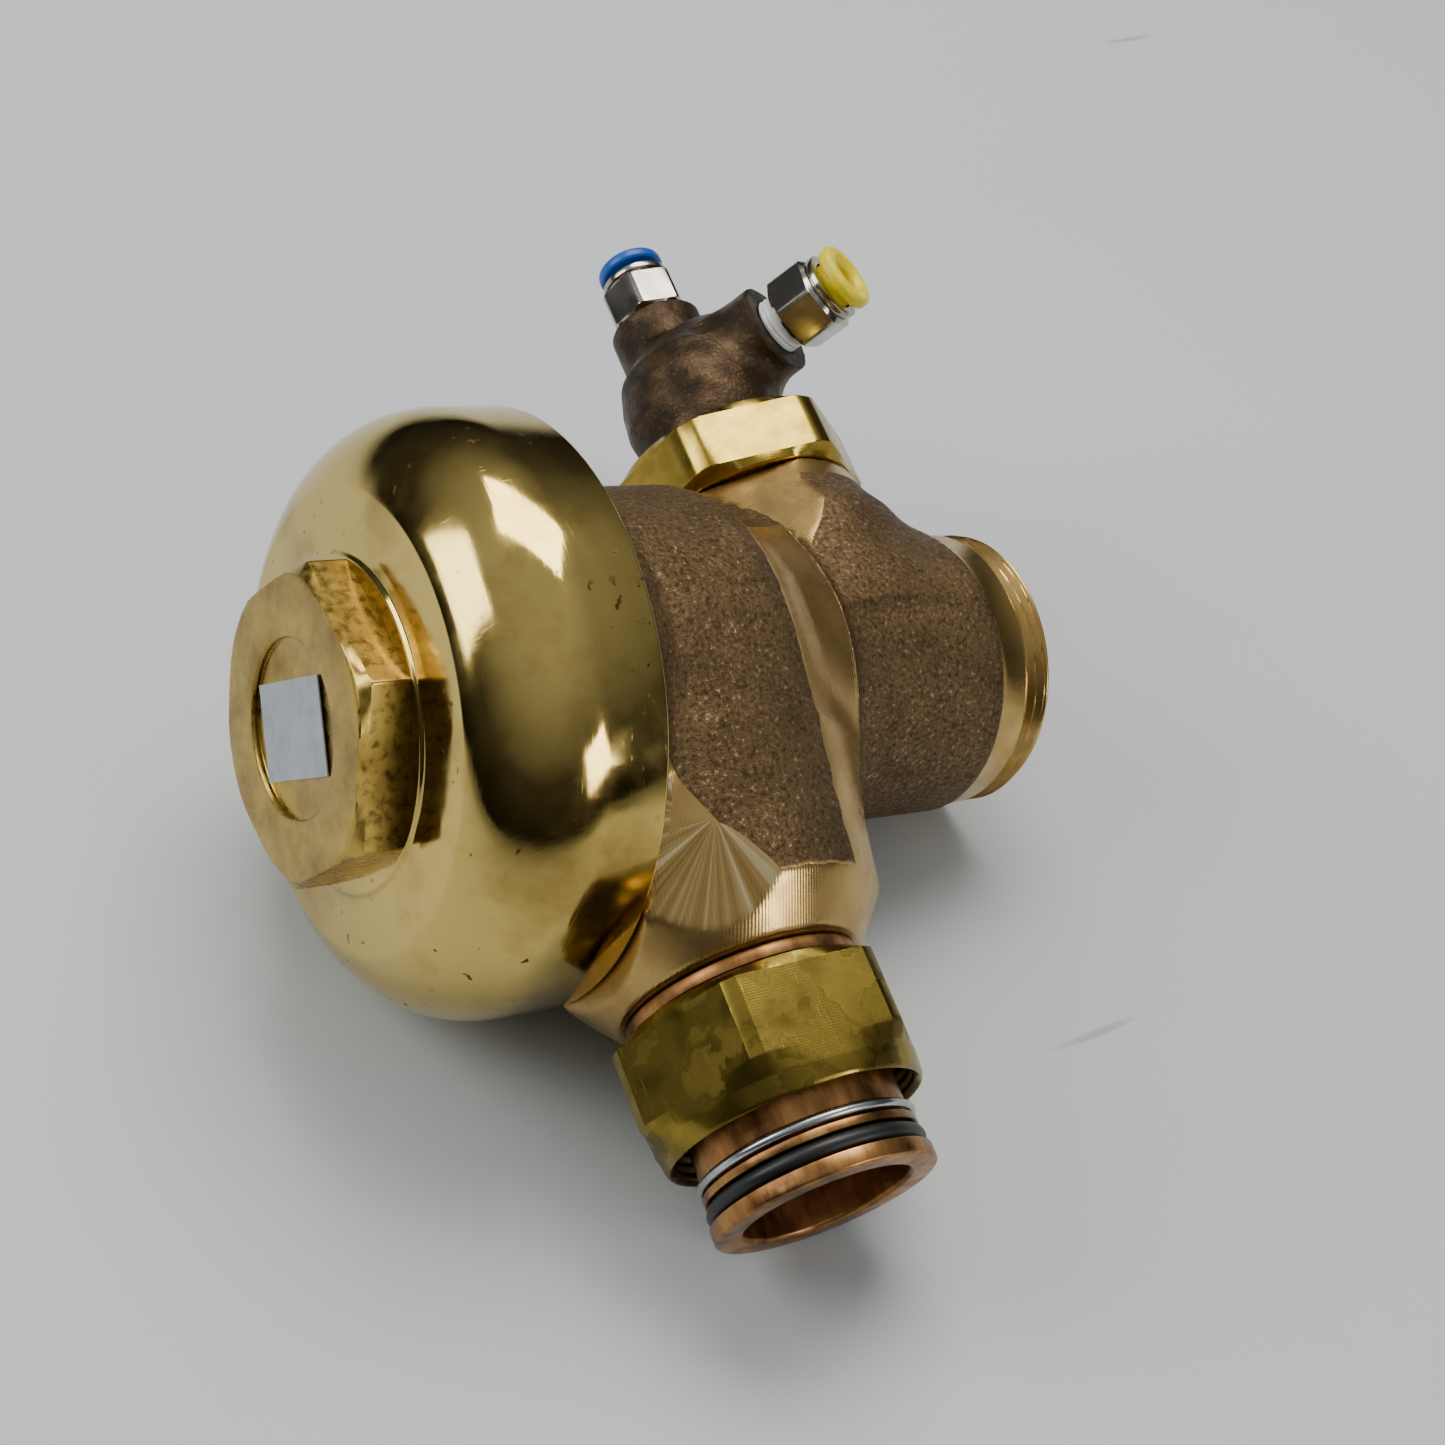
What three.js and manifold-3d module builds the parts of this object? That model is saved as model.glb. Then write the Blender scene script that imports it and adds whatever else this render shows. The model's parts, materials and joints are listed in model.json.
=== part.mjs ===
// Exposed diaphragm flush valve with a fluid-operated actuator, lying on its side.
// Valve frame used while modelling: +x runs from the outside cover to the outlet, +y runs from the
// inlet to the actuator, and +z is the side that faces up when the valve lies on a bench.
import * as THREE from "three";
import { mergeVertices } from "three/addons/utils/BufferGeometryUtils.js";
import Module from "manifold-3d";

const wasm = await Module();
wasm.setup();

// ---------------------------------------------------------------- driving dimensions, millimetres
const gap = 0.3; // clearance between touching pieces
const fine = 32; // sides of a large round piece
const coarse = 18; // sides of a small round piece

const cover = { rim: -23.9, radius: 50.8, skirt: 11, corner: 19, face: -53.6, bore: 46.3 };
const coverHex = { front: -62.8, flats: 47.4, recess: 14.7, recessDepth: 1.2 };
const body = { rim: -33, shoulder: -23.4, thread: 45.9, bowl: 36.8, bowlStart: -12, bowlEnd: 9 };
const chamber = { radius: 40.5, wall: 4.3, depth: 19 };
const barrel = { top: -26, end: 26.7, outer: 22.2, bore: 19.6, pocket: 27, pocketRadius: 22.5 };
const outlet = {
  neckStart: 32, neck: 26.5, split: 64, ring: 25.6, threadStart: 71.8, end: 77.6, crest: 25.3, root: 24.3,
  bore: 19.6,
};
const boss = { root: 34, mid: 30, end: 28, coneStart: 49, face: 57, faceRadius: 21.7, bore: 18 };
const tail = { radius: 17.7, bore: 14.2, end: 95.2, lip: 19.05, start: 43 };
const snap = { at: 85.3, width: 1.6, groove: 17, inner: 17.4, radius: 18.9, mouth: 6.4 };
const oRing = { at: 90.55, section: 1.45, radius: 17.35 };
const stopNut = {
  start: 60, end: 82.6, flats: 45, corner: 25.3, shoulderBore: 18.25, thread: 20.6, drop: 0.3,
};
const port = { x: 43, radius: 20.5, face: 35, thread: 18, threadEnd: 41.6, bore: 12.2 };
const portNut = { start: 35.4, end: 49.2, flats: 43, corner: 23.9, bore: 18.3, neckBore: 15.9 };
const housing = {
  start: 45, flange: 17.7, flangeEnd: 46.6, neck: 13.4, bore: 10.6, branch: 69.8, top: 79.5, lean: 5,
};
const blueBoss = { offset: 8, radius: 9.3, face: 89 };
const yellowBoss = { radius: 9.3, face: 17.5 };
// Milled flats on the casting's side bosses, the same above and below: each is a plane, [normal, offset].
const inletFlat = { normal: [-0.476, -0.351, 0.806], offset: 41.5 };
const portFlat = { normal: [-0.476, 0.351, 0.806], offset: 9.5, limit: [0.958, 0.286, 0], limitOffset: 34.2 };
const branchTurn = THREE.MathUtils.degToRad(64); // yellow port, turned from +x towards +z
const diaphragm = { top: -35.5, thick: 2.2, radius: 44 };
const stemTip = 58;

// ---------------------------------------------------------------- helpers
function closed(geometry) {
  // one watertight mesh: positions only, shared corners merged, thin leftovers at the axis dropped
  const bare = new THREE.BufferGeometry();
  const flat = geometry.index ? geometry.toNonIndexed() : geometry;
  bare.setAttribute("position", flat.getAttribute("position").clone());
  const merged = mergeVertices(bare, 1e-4);
  const kept = [];
  const all = merged.index.array;
  for (let i = 0; i < all.length; i += 3) {
    const [a, b, c] = [all[i], all[i + 1], all[i + 2]];
    if (a !== b && b !== c && c !== a) kept.push(a, b, c);
  }
  merged.setIndex(kept);
  return merged;
}

function solid(geometry) {
  const mesh = closed(geometry);
  const vertProperties = new Float32Array(mesh.getAttribute("position").array);
  const triVerts = new Uint32Array(mesh.index.array);
  return new wasm.Manifold(new wasm.Mesh({ numProp: 3, vertProperties, triVerts }));
}

function fromSolid(manifold) {
  const mesh = manifold.getMesh();
  const geometry = new THREE.BufferGeometry();
  const positions = new Float32Array(mesh.vertProperties);
  geometry.setAttribute("position", new THREE.BufferAttribute(positions, 3));
  geometry.setIndex(Array.from(mesh.triVerts));
  return geometry;
}

function join(...pieces) {
  return pieces.reduce((sum, piece) => sum.add(piece));
}

function cut(piece, ...tools) {
  return tools.reduce((rest, tool) => rest.subtract(tool), piece);
}

// A turned shape: profile is a list of [along, radius] going round the section once.
function turned(profile, axis = "x", sides = fine) {
  const points = profile.map(([along, radius]) => new THREE.Vector2(radius, along));
  const onAxis = points[0].x === 0 && points[points.length - 1].x === 0;
  if (!onAxis) points.push(points[0].clone());
  if (THREE.ShapeUtils.area(points) < 0) points.reverse();
  const geometry = new THREE.LatheGeometry(points, sides);
  if (axis === "x") geometry.rotateZ(-Math.PI / 2);
  if (axis === "z") geometry.rotateX(Math.PI / 2);
  return geometry;
}

// Points of an arc in the (along, radius) plane.
function arc(along, radius, size, from, to, steps) {
  return Array.from({ length: steps + 1 }, (_, i) => {
    const angle = THREE.MathUtils.degToRad(from + ((to - from) * i) / steps);
    return [along + size * Math.cos(angle), radius + size * Math.sin(angle)];
  });
}

function rod(start, end, radius, axis = "x", sides = coarse) {
  return turned([[start, 0], [start, radius], [end, radius], [end, 0]], axis, sides);
}

function ring(start, end, inner, outer, axis = "x", sides = fine) {
  return turned([[start, inner], [start, outer], [end, outer], [end, inner]], axis, sides);
}

function torus(along, radius, section, axis, sides = fine) {
  return turned(arc(along, radius, section, 0, 315, 7), axis, sides);
}

// Hexagonal bar along an axis, measured across its flats.
function hexBar(start, end, flats, axis, turn = 0) {
  const bar = new THREE.CylinderGeometry(flats / Math.sqrt(3), flats / Math.sqrt(3), end - start, 6);
  bar.rotateY(turn);
  bar.translate(0, (start + end) / 2, 0);
  if (axis === "x") bar.rotateZ(-Math.PI / 2);
  return bar;
}

// Everything beyond the plane whose unit normal and distance from the origin are given.
function halfSpace(normal, offset) {
  const reach = 200;
  const box = new THREE.BoxGeometry(reach, reach, reach);
  box.translate(0, 0, reach / 2 + offset);
  const turn = new THREE.Quaternion().setFromUnitVectors(new THREE.Vector3(0, 0, 1), normal.normalize());
  return box.applyQuaternion(turn);
}

function block(from, to) {
  const size = to.map((value, i) => value - from[i]);
  const box = new THREE.BoxGeometry(...size);
  box.translate(...from.map((value, i) => value + size[i] / 2));
  return box;
}

const valve = new THREE.Group();

function add(name, geometry, color, roughness, metalness, parent = valve) {
  const finish = new THREE.MeshStandardMaterial({ color, roughness, metalness });
  const mesh = new THREE.Mesh(closed(geometry), finish);
  mesh.name = name;
  parent.add(mesh);
  return mesh;
}

// ---------------------------------------------------------------- cast body
function bodyCasting() {
  const { thread, shoulder, bowl, bowlStart, bowlEnd } = body;
  const outer = turned([
    [body.rim, 0], [body.rim, thread], [shoulder, thread], [shoulder + 4, 42.5], [-15.5, 38.2],
    [bowlStart, bowl], [bowlEnd, bowl], [13, 35.8],
    [16.5, 32.6], [21, 30.4], [29.5, 28.6], [outlet.neckStart, outlet.neck],
    [outlet.split, outlet.neck], [outlet.split, 0],
  ]);
  const inletBoss = turned([
    [0, 0], [0, boss.root], [-24, boss.root], [-38, boss.mid],
    [-boss.coneStart, boss.end], [-boss.face, boss.faceRadius], [-boss.face, 0],
  ], "y");
  const portBoss = turned([
    [0, 0], [0, port.radius], [port.face, port.radius], [port.face, port.thread],
    [port.threadEnd, port.thread], [port.threadEnd, 0],
  ], "y");
  const flare = turned([
    [2, 0], [2, 26.3], [14, 26.4], [24, 25.3], [29, 22.4], [34, port.radius - 0.05], [34, 0],
  ], "y");
  flare.translate(port.x, 0, 0);
  portBoss.translate(port.x, 0, 0);
  const web = solid(flare).intersect(solid(block([20, 0, -27], [63.5, 60, 27])));
  const casting = join(solid(outer), solid(inletBoss), solid(portBoss), web);

  const coverClearance = ring(-60, shoulder, thread, 52, "x");
  const lid = rod(-60, body.rim, 60, "x", fine);
  const hollow = turned([
    [body.rim - 1, 0], [body.rim - 1, chamber.radius], [-25, chamber.radius], [-16, 34],
    [bowlStart, bowl - chamber.wall], [bowlEnd - 1, bowl - chamber.wall], [14.5, 28.5],
    [chamber.depth, 25], [chamber.depth, barrel.pocketRadius],
    [barrel.pocket, barrel.pocketRadius], [barrel.pocket, 0],
  ]);
  const mainBore = rod(barrel.pocket - 1, outlet.split + 1, outlet.bore, "x", fine);
  const inletBore = turned([
    [-24.5, 0], [-24.5, 16], [-boss.face + 15, 16], [-boss.face + 15, boss.bore],
    [-boss.face - 1, boss.bore], [-boss.face - 1, 0],
  ], "y");
  const portBore = rod(10, port.threadEnd + 1, port.bore, "y");
  portBore.translate(port.x, 0, 0);
  const flats = [1, -1].flatMap((side) => {
    const facing = ([x, y, z]) => new THREE.Vector3(x, y, z * side);
    const milled = solid(halfSpace(facing(portFlat.normal), portFlat.offset));
    const limit = solid(halfSpace(facing(portFlat.limit), portFlat.limitOffset));
    const underNut = solid(block([0, 0, -60], [60, port.face - 0.2, 60]));
    const inletSide = solid(block([-60, -60, -60], [30, -30, 60]));
    return [
      milled.intersect(limit).intersect(underNut),
      solid(halfSpace(facing(inletFlat.normal), inletFlat.offset)).intersect(inletSide),
    ];
  });
  const tools = [coverClearance, lid, hollow, mainBore, inletBore, portBore].map(solid);
  return cut(casting, ...tools, ...flats);
}
add("valve_body", fromSolid(bodyCasting()), 0x8a6239, 0.75, 0.6);

// The barrel is pressed into the casting and carries the main seat at its upper end.
const barrelSleeve = ring(barrel.top, barrel.end, barrel.bore, barrel.outer);
add("main_seat_barrel", barrelSleeve, 0xb8963f, 0.35, 1);
// The threaded end of the same casting stands as a piece of its own, so that its bore stays open.
const outletEnd = turned([
  [outlet.split + gap, outlet.bore], [outlet.split + gap, outlet.ring], [outlet.threadStart, outlet.ring],
  [outlet.threadStart, outlet.root], [73.2, outlet.crest], [74.2, outlet.root], [75.3, outlet.crest],
  [76.3, outlet.root], [77.1, outlet.crest - 0.3], [outlet.end, outlet.root - 0.3], [outlet.end, outlet.bore],
]);
add("outlet_end", outletEnd, 0xb8894a, 0.35, 1);
const seatRing = ring(barrel.top - 3.3, barrel.top - gap, barrel.bore, barrel.outer);
add("main_seat_ring", seatRing, 0xc9a44c, 0.3, 1);

// ---------------------------------------------------------------- covers
function outsideCover() {
  const { rim, radius, skirt, corner, face, bore } = cover;
  const shell = turned([
    [rim, bore], [rim, radius], [rim - skirt, radius],
    ...arc(rim - skirt, radius - corner, corner, 105, 165, 4), [face + 0.5, radius - corner],
    [face, 27.6], [face - 0.8, 27.6], [face - 0.8, 0], [-50.8, 0], [-50.8, 30], [-46, 38],
    [-39.3, 41], [-39.3, 44.4], [-33.4, 44.4], [-33.4, bore],
  ]);
  const hex = hexBar(coverHex.front, face - 0.4, coverHex.flats, "x", THREE.MathUtils.degToRad(17));
  const trim = turned([
    [coverHex.front - 1, 0], [coverHex.front - 1, 24.8], [coverHex.front + 1.6, 27.6],
    [face, 27.6], [face, 0],
  ]);
  const recess = rod(coverHex.front - 1, coverHex.front + coverHex.recessDepth, coverHex.recess, "x", fine);
  return cut(join(solid(shell), solid(hex).intersect(solid(trim))), solid(recess));
}
add("outside_cover", fromSolid(outsideCover()), 0xcfa95a, 0.12, 1);

const label = block([-0.125, -8, -11], [0.125, 8, 11]);
label.rotateX(THREE.MathUtils.degToRad(28));
label.translate(coverHex.front + coverHex.recessDepth - 0.45, 0.2, -0.6);
add("label_plate", label, 0x9ea1a4, 0.5, 0.1);

const insideCover = turned([
  [-35.8, 38.5], [-35.8, 44], [-39, 44], [-39, 40.6], [-45.7, 37.4], [-50.4, 29.4], [-50.4, 0],
  [-49, 0], [-49, 28], [-44.6, 35.6], [-39, 38.5],
]);
add("inside_cover", insideCover, 0x2b2c2e, 0.6, 0);

// ---------------------------------------------------------------- diaphragm and relief valve
const topFace = diaphragm.top;
const underFace = diaphragm.top + diaphragm.thick;
const rubber = turned([
  [topFace, 7.6], [topFace, 25], [topFace + 2.6, 29], [topFace + 2.6, 32], [topFace, 36],
  [topFace, diaphragm.radius], [underFace, diaphragm.radius], [underFace, 36.8],
  [underFace + 2.2, 33.2], [underFace + 2.2, 27.8], [underFace, 24.2], [underFace, 7.6],
]);
add("diaphragm_rubber", rubber, 0x1d1d1d, 0.85, 0);

const clampDisc = turned([
  [-38, 6.5], [-38.6, 7], [-38.6, 8.4], [-38, 9], [-37.8, 22], [-35.8, 22], [-35.8, 6.5],
]);
add("diaphragm_clamp_disc", clampDisc, 0xb9bcc0, 0.4, 1);

const guide = turned([
  [-33, 7.6], [-33, 22], [-29.7, 22], [-29.7, 19.1], [-16, 19.1], [-16, 16.6], [-30.5, 16.6], [-30.5, 7.6],
]);
add("diaphragm_guide", guide, 0x1f5f8c, 0.5, 0);

add("refill_ring", ring(-15.7, -9.5, 15, 19.2), 0x2f7d4f, 0.5, 0);

const reliefDisc = turned([
  [-38.9, 0], [-38.9, 10.2], [-40.4, 10.2], [-41.4, 6], [-41.4, 0],
]);
add("relief_valve_disc", reliefDisc, 0x26282b, 0.6, 0);
add("relief_valve_stem", turned([
  [-38.6, 0], [-38.6, 3.4], [-36.5, 2.4], [stemTip - 2, 2.4], [stemTip, 1.2], [stemTip, 0],
], "x", 16), 0xc4c7ca, 0.25, 1);
add("stem_sleeve", ring(41, stemTip - 4, 2.7, 4.5, "x", 20), 0x3b3d40, 0.5, 0);

// ---------------------------------------------------------------- inlet tail and its nut
function tailPiece() {
  const { radius, bore, end, lip, start } = tail;
  const tube = turned([
    [-start, bore], [-start, radius], [-boss.face - 0.35, radius], [-boss.face - 0.35, 20.3],
    [-59.5, 20.3], [-59.5, radius], [-snap.at + 0.2, radius], [-snap.at + 0.2, snap.groove],
    [-snap.at - 2.1, snap.groove], [-snap.at - 2.1, 18.4], [-88.8, 18.4], [-88.8, 15.5], [-92.3, 15.5],
    [-92.3, lip], [-end + 0.5, lip], [-end, lip - 0.5], [-end, bore + 0.4], [-end + 0.6, bore],
  ], "y");
  const lugs = [-1, 1].map((side) => {
    const from = [side * (bore + 0.6) - 0.9, -end + 1, -1.6];
    return solid(block(from, [from[0] + 1.8, -end + 4.5, 1.6]));
  });
  return join(solid(tube), ...lugs);
}
add("inlet_tail", fromSolid(tailPiece()), 0x9a5b2d, 0.4, 1);

function snapRing() {
  const whole = ring(-snap.at - snap.width, -snap.at, snap.inner, snap.radius, "y");
  const mouth = block([-snap.mouth / 2, -snap.at - 5, 10], [snap.mouth / 2, -snap.at + 5, 30]);
  return cut(solid(whole), solid(mouth.rotateY(Math.PI * 0.72)));
}
add("tail_snap_ring", fromSolid(snapRing()), 0xaeb2b6, 0.3, 1);
add("tail_o_ring", torus(-oRing.at, oRing.radius, oRing.section, "y"), 0x141414, 0.5, 0);

// A coupling nut: hexagon trimmed by a turned outline, opened by a stepped bore.
function couplingNut({ start, end, flats, corner, bore, neckBore, neckAtStart, turn }) {
  const bar = hexBar(start, end, flats, "y", turn);
  const outline = turned([
    [start, 0], [start, corner - 2.4], [start + 1.5, corner], [end - 1.5, corner],
    [end, corner - 2.4], [end, 0],
  ], "y");
  const shoulder = neckAtStart ? start + 4.3 : end - 2.3;
  const [wideFrom, wideTo] = neckAtStart ? [shoulder, end + 1] : [start - 1, shoulder];
  const flareTool = neckAtStart
    ? turned([[end - 1.6, 0], [end - 1.6, bore], [end + 0.1, bore + 1.2], [end + 0.1, 0]], "y")
    : turned([[start - 0.1, 0], [start - 0.1, bore + 0.4], [start + 0.5, bore], [start + 0.5, 0]], "y");
  const neck = rod(start - 1, end + 1, neckBore, "y", fine);
  const threaded = rod(wideFrom, wideTo, bore, "y", fine);
  return cut(solid(bar).intersect(solid(outline)), ...[neck, threaded, flareTool].map(solid));
}
const stopNutShape = fromSolid(couplingNut({
  start: stopNut.start, end: stopNut.end, flats: stopNut.flats, corner: stopNut.corner,
  bore: stopNut.thread, neckBore: stopNut.shoulderBore, neckAtStart: true, turn: -0.37,
}));
stopNutShape.rotateZ(Math.PI); // the nut is drawn along +y and sits along -y
const stopNutMesh = add("stop_coupling_nut", stopNutShape, 0xb08a3a, 0.3, 1);
stopNutMesh.position.set(-stopNut.drop * 0.3, 0, -stopNut.drop);

// ---------------------------------------------------------------- actuator
const actuator = new THREE.Group();
actuator.position.set(port.x, 0, 0);
valve.add(actuator);

const portNutShape = couplingNut({
  start: portNut.start, end: portNut.end, flats: portNut.flats, corner: portNut.corner,
  bore: portNut.bore, neckBore: portNut.neckBore, neckAtStart: false, turn: 0.2,
});
add("actuator_coupling_nut", fromSolid(portNutShape), 0xbd9a42, 0.25, 1, actuator);

const bushing = turned([
  [21, 3.35], [21, 9], [23, 11.9], [26, 11.9], [26, 10], [30, 10], [30, 11.9], [41.9, 11.9],
  [41.9, 17.7], [43.4, 17.7], [43.4, 7.4], [38, 7.4], [38, 3.35],
], "y", 24);
add("plunger_bushing", bushing, 0xb8963f, 0.35, 1, actuator);
add("bushing_o_ring", ring(26.4, 29.6, 10.3, 12, "y", 24), 0x151515, 0.5, 0, actuator);
add("actuator_gasket", ring(43.7, 44.7, 12, 17.5, "y", 24), 0x222222, 0.8, 0, actuator);

const blueAxis = [housing.lean, -blueBoss.offset];
const threadRadius = 4.9;
const threadLength = 5; // how far each fitting screws into its port

function actuatorHousing() {
  const { start, flange, flangeEnd, neck, bore, branch, top, lean } = housing;
  const trunk = turned([
    [start, 0], [start, flange], [flangeEnd, flange], [flangeEnd, neck], [52, neck], [61, 15], [71, 13.2],
    [74, 10], [74, 0],
  ], "y", 24);
  const hub = turned([[56, 0], [56, 10], [62, 12], [72, 12], [76, 10.4], [top, 6], [top, 0]], "y", 24);
  hub.translate(lean, 0, 0);
  const blue = turned([
    [49.8, 0], [49.8, 7], [60, blueBoss.radius], [blueBoss.face - 0.8, blueBoss.radius],
    [blueBoss.face, blueBoss.radius - 0.8], [blueBoss.face, 0],
  ], "y", 22);
  blue.translate(blueAxis[0], 0, blueAxis[1]);
  const yellow = turned([
    [0, 0], [0, yellowBoss.radius], [yellowBoss.face - 0.8, yellowBoss.radius],
    [yellowBoss.face, yellowBoss.radius - 0.8], [yellowBoss.face, 0],
  ], "x", 20);
  yellow.rotateY(-branchTurn);
  yellow.translate(lean, branch, 0);
  const cylinder = rod(start - 1, 71, bore, "y", 24);
  const blueBore = rod(70, blueBoss.face + 1, 2, "y", 12);
  const blueThread = rod(blueBoss.face - threadLength - 0.6, blueBoss.face + 1, threadRadius + gap, "y");
  [blueBore, blueThread].forEach((tool) => tool.translate(blueAxis[0], 0, blueAxis[1]));
  const yellowBore = rod(4, yellowBoss.face + 1, 2, "x", 12);
  const threadEnd = yellowBoss.face - threadLength - 0.6;
  const yellowThread = rod(threadEnd, yellowBoss.face + 1, threadRadius + gap, "x");
  [yellowBore, yellowThread].forEach((tool) => {
    tool.rotateY(-branchTurn);
    tool.translate(lean, branch, 0);
  });
  const tools = [cylinder, blueBore, blueThread, yellowBore, yellowThread];
  return cut(join(solid(trunk), solid(hub), solid(blue), solid(yellow)), ...tools.map(solid));
}
add("actuator_housing", fromSolid(actuatorHousing()), 0x3b2a18, 0.7, 0.7, actuator);

const plunger = turned([[5.4, 0], [6.2, 3], [62.7, 3], [62.7, 0]], "y", 16);
add("plunger", plunger, 0xc6c9cc, 0.2, 1, actuator);
const piston = turned([
  [63, 0], [63, 10.2], [64.3, 10.2], [64.3, 8.6], [67, 8.6], [67, 10.2], [68.4, 10.2], [68.4, 0],
], "y", 24);
add("actuator_piston", piston, 0xb8963f, 0.3, 1, actuator);
add("piston_seal", ring(64.6, 66.7, 8.9, 10.3, "y", 24), 0x161616, 0.5, 0, actuator);

class Helix extends THREE.Curve {
  constructor(from, to, radius, turns) {
    super();
    Object.assign(this, { from, to, radius, turns });
  }

  getPoint(t, target = new THREE.Vector3()) {
    const angle = 2 * Math.PI * this.turns * t;
    const along = this.from + (this.to - this.from) * t;
    return target.set(this.radius * Math.cos(angle), along, this.radius * Math.sin(angle));
  }
}
const wire = new THREE.Shape(new THREE.EllipseCurve(0, 0, 0.5, 0.5).getPoints(6).slice(0, 6));
const spring = new THREE.ExtrudeGeometry(wire, {
  steps: 96, bevelEnabled: false, extrudePath: new Helix(39, 61.9, 5.6, 8),
});
add("plunger_spring", spring, 0xaab0b5, 0.3, 1, actuator);

// ---------------------------------------------------------------- push-in tube fittings
// Drawn along +x from the boss face, then turned onto the port by their group.
const fitting = { hex: 9.2, flats: 14.2, shoulder: 1.6, collarGap: 1.5, collar: 2.6, tube: 3.45 };

function pushInFitting(name, thread, color, place) {
  const parent = new THREE.Group();
  place(parent);
  actuator.add(parent);
  const hexEnd = thread + fitting.hex;
  const mouth = hexEnd + fitting.shoulder;
  const outline = turned([
    [-threadLength, 0], [-threadLength, threadRadius - 0.4], [1 - threadLength, threadRadius],
    [thread, threadRadius], [thread, 6.9],
    [thread + 0.8, 7.9], [hexEnd - 0.8, 7.9], [hexEnd, 6.9], [mouth, 6.9], [mouth, 0],
  ], "x", 20);
  const hexFrom = solid(hexBar(thread, hexEnd, fitting.flats, "x", 0.3));
  const roundPart = solid(rod(-8, thread + 0.01, 9)).add(solid(rod(hexEnd - 0.01, mouth + 1, 9)));
  const bores = turned([
    [-8, 0], [-8, 2], [thread + 1, 2], [thread + 1, fitting.tube], [thread + 3, fitting.tube],
    [thread + 3, 5], [mouth + 1, 5], [mouth + 1, 0],
  ], "x", 20);
  const shape = cut(solid(outline).intersect(hexFrom.add(roundPart)), solid(bores));
  add(`${name}_fitting_body`, fromSolid(shape), 0xb8b2a6, 0.2, 1, parent);
  add(`${name}_tube_o_ring`, torus(thread + 4.2, 4.1, 0.75, "x", 20), 0x171717, 0.5, 0, parent);
  add(`${name}_grab_ring`, ring(thread + 5.6, thread + 6.2, 3.6, 4.7, "x", 20), 0xc0c4c8, 0.3, 1, parent);
  const flange = mouth + fitting.collarGap;
  const collar = turned([
    [thread + 8, fitting.tube], [thread + 8, 4.3], [thread + 8.6, 4.65], [flange, 4.65], [flange, 6.2],
    [flange + 0.5, 6.7], [flange + 2, 6.7], [flange + 2.6, 6.1], [flange + 2.6, fitting.tube + 0.5],
    [flange + 2, fitting.tube],
  ], "x", 20);
  add(`${name}_release_collar`, collar, color, 0.35, 0, parent);
  const tape = ring(0.25, thread - 0.25, threadRadius + 0.28, threadRadius + 0.6, "x", 20);
  add(`${name}_thread_tape`, tape, 0xe8e8e4, 0.6, 0, parent);
}

pushInFitting("blue", 1.2, 0x0a4fa8, (group) => {
  group.position.set(blueAxis[0], blueBoss.face, blueAxis[1]);
  group.rotation.z = Math.PI / 2;
});
pushInFitting("yellow", 3.4, 0xe6d21a, (group) => {
  group.position.set(Math.cos(branchTurn), 0, Math.sin(branchTurn)).multiplyScalar(yellowBoss.face);
  group.position.x += housing.lean;
  group.position.y = housing.branch;
  group.rotation.y = -branchTurn;
});

// ---------------------------------------------------------------- how it lies on a bench
// It rests on three points: the cover's rim, the inlet side and the outlet's end. The up direction is
// found by laying a plane on the lowest corner of each and repeating until the three stay the same.
function corners(test) {
  const found = [];
  valve.updateMatrixWorld(true);
  valve.traverse((mesh) => {
    if (!mesh.isMesh) return;
    const position = mesh.geometry.getAttribute("position");
    for (let i = 0; i < position.count; i += 1) {
      const point = new THREE.Vector3().fromBufferAttribute(position, i).applyMatrix4(mesh.matrixWorld);
      if (test(point)) found.push(point);
    }
  });
  return found;
}

function lowest(points, up) {
  return points.reduce((low, point) => (point.dot(up) < low.dot(up) ? point : low));
}

const supports = [
  corners((point) => point.x < -20 && point.y > -50),
  corners((point) => point.y < -58),
  corners((point) => point.x > 62 && point.y < 30 && point.y > -30),
];
const up = new THREE.Vector3(-0.24, 0.26, 0.93).normalize();
for (let pass = 0; pass < 12; pass += 1) {
  const [coverPoint, inletPoint, outletPoint] = supports.map((points) => lowest(points, up));
  const alongInlet = inletPoint.clone().sub(coverPoint);
  const alongOutlet = outletPoint.clone().sub(coverPoint);
  up.crossVectors(alongInlet, alongOutlet).normalize();
  if (up.z < 0) up.negate();
}

const across = new THREE.Vector3(1, 0, 0);
const forward = across.clone().addScaledVector(up, -across.dot(up)).normalize();
const left = new THREE.Vector3().crossVectors(up, forward);
const lying = new THREE.Matrix4().makeBasis(forward, left, up).transpose();
valve.quaternion.setFromRotationMatrix(lying);

// The origin is the middle of the footprint, on the bench.
const group = new THREE.Group();
group.add(valve);
group.updateMatrixWorld(true);
const extent = new THREE.Box3().setFromObject(group, true);
const middle = extent.getCenter(new THREE.Vector3());
valve.position.set(-middle.x, -middle.y, -extent.min.z);

export default group;
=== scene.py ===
# An exposed brass diaphragm flush valve with a fluid actuator, lying on a pale bench.
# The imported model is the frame: every piece here is worked out in the valve's own axes, in
# millimetres, and then laid where the model's mounts say that the valve lies.
import json
import math
import bpy
import numpy as np
import openvdb
from mathutils import Matrix, Vector


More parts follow.
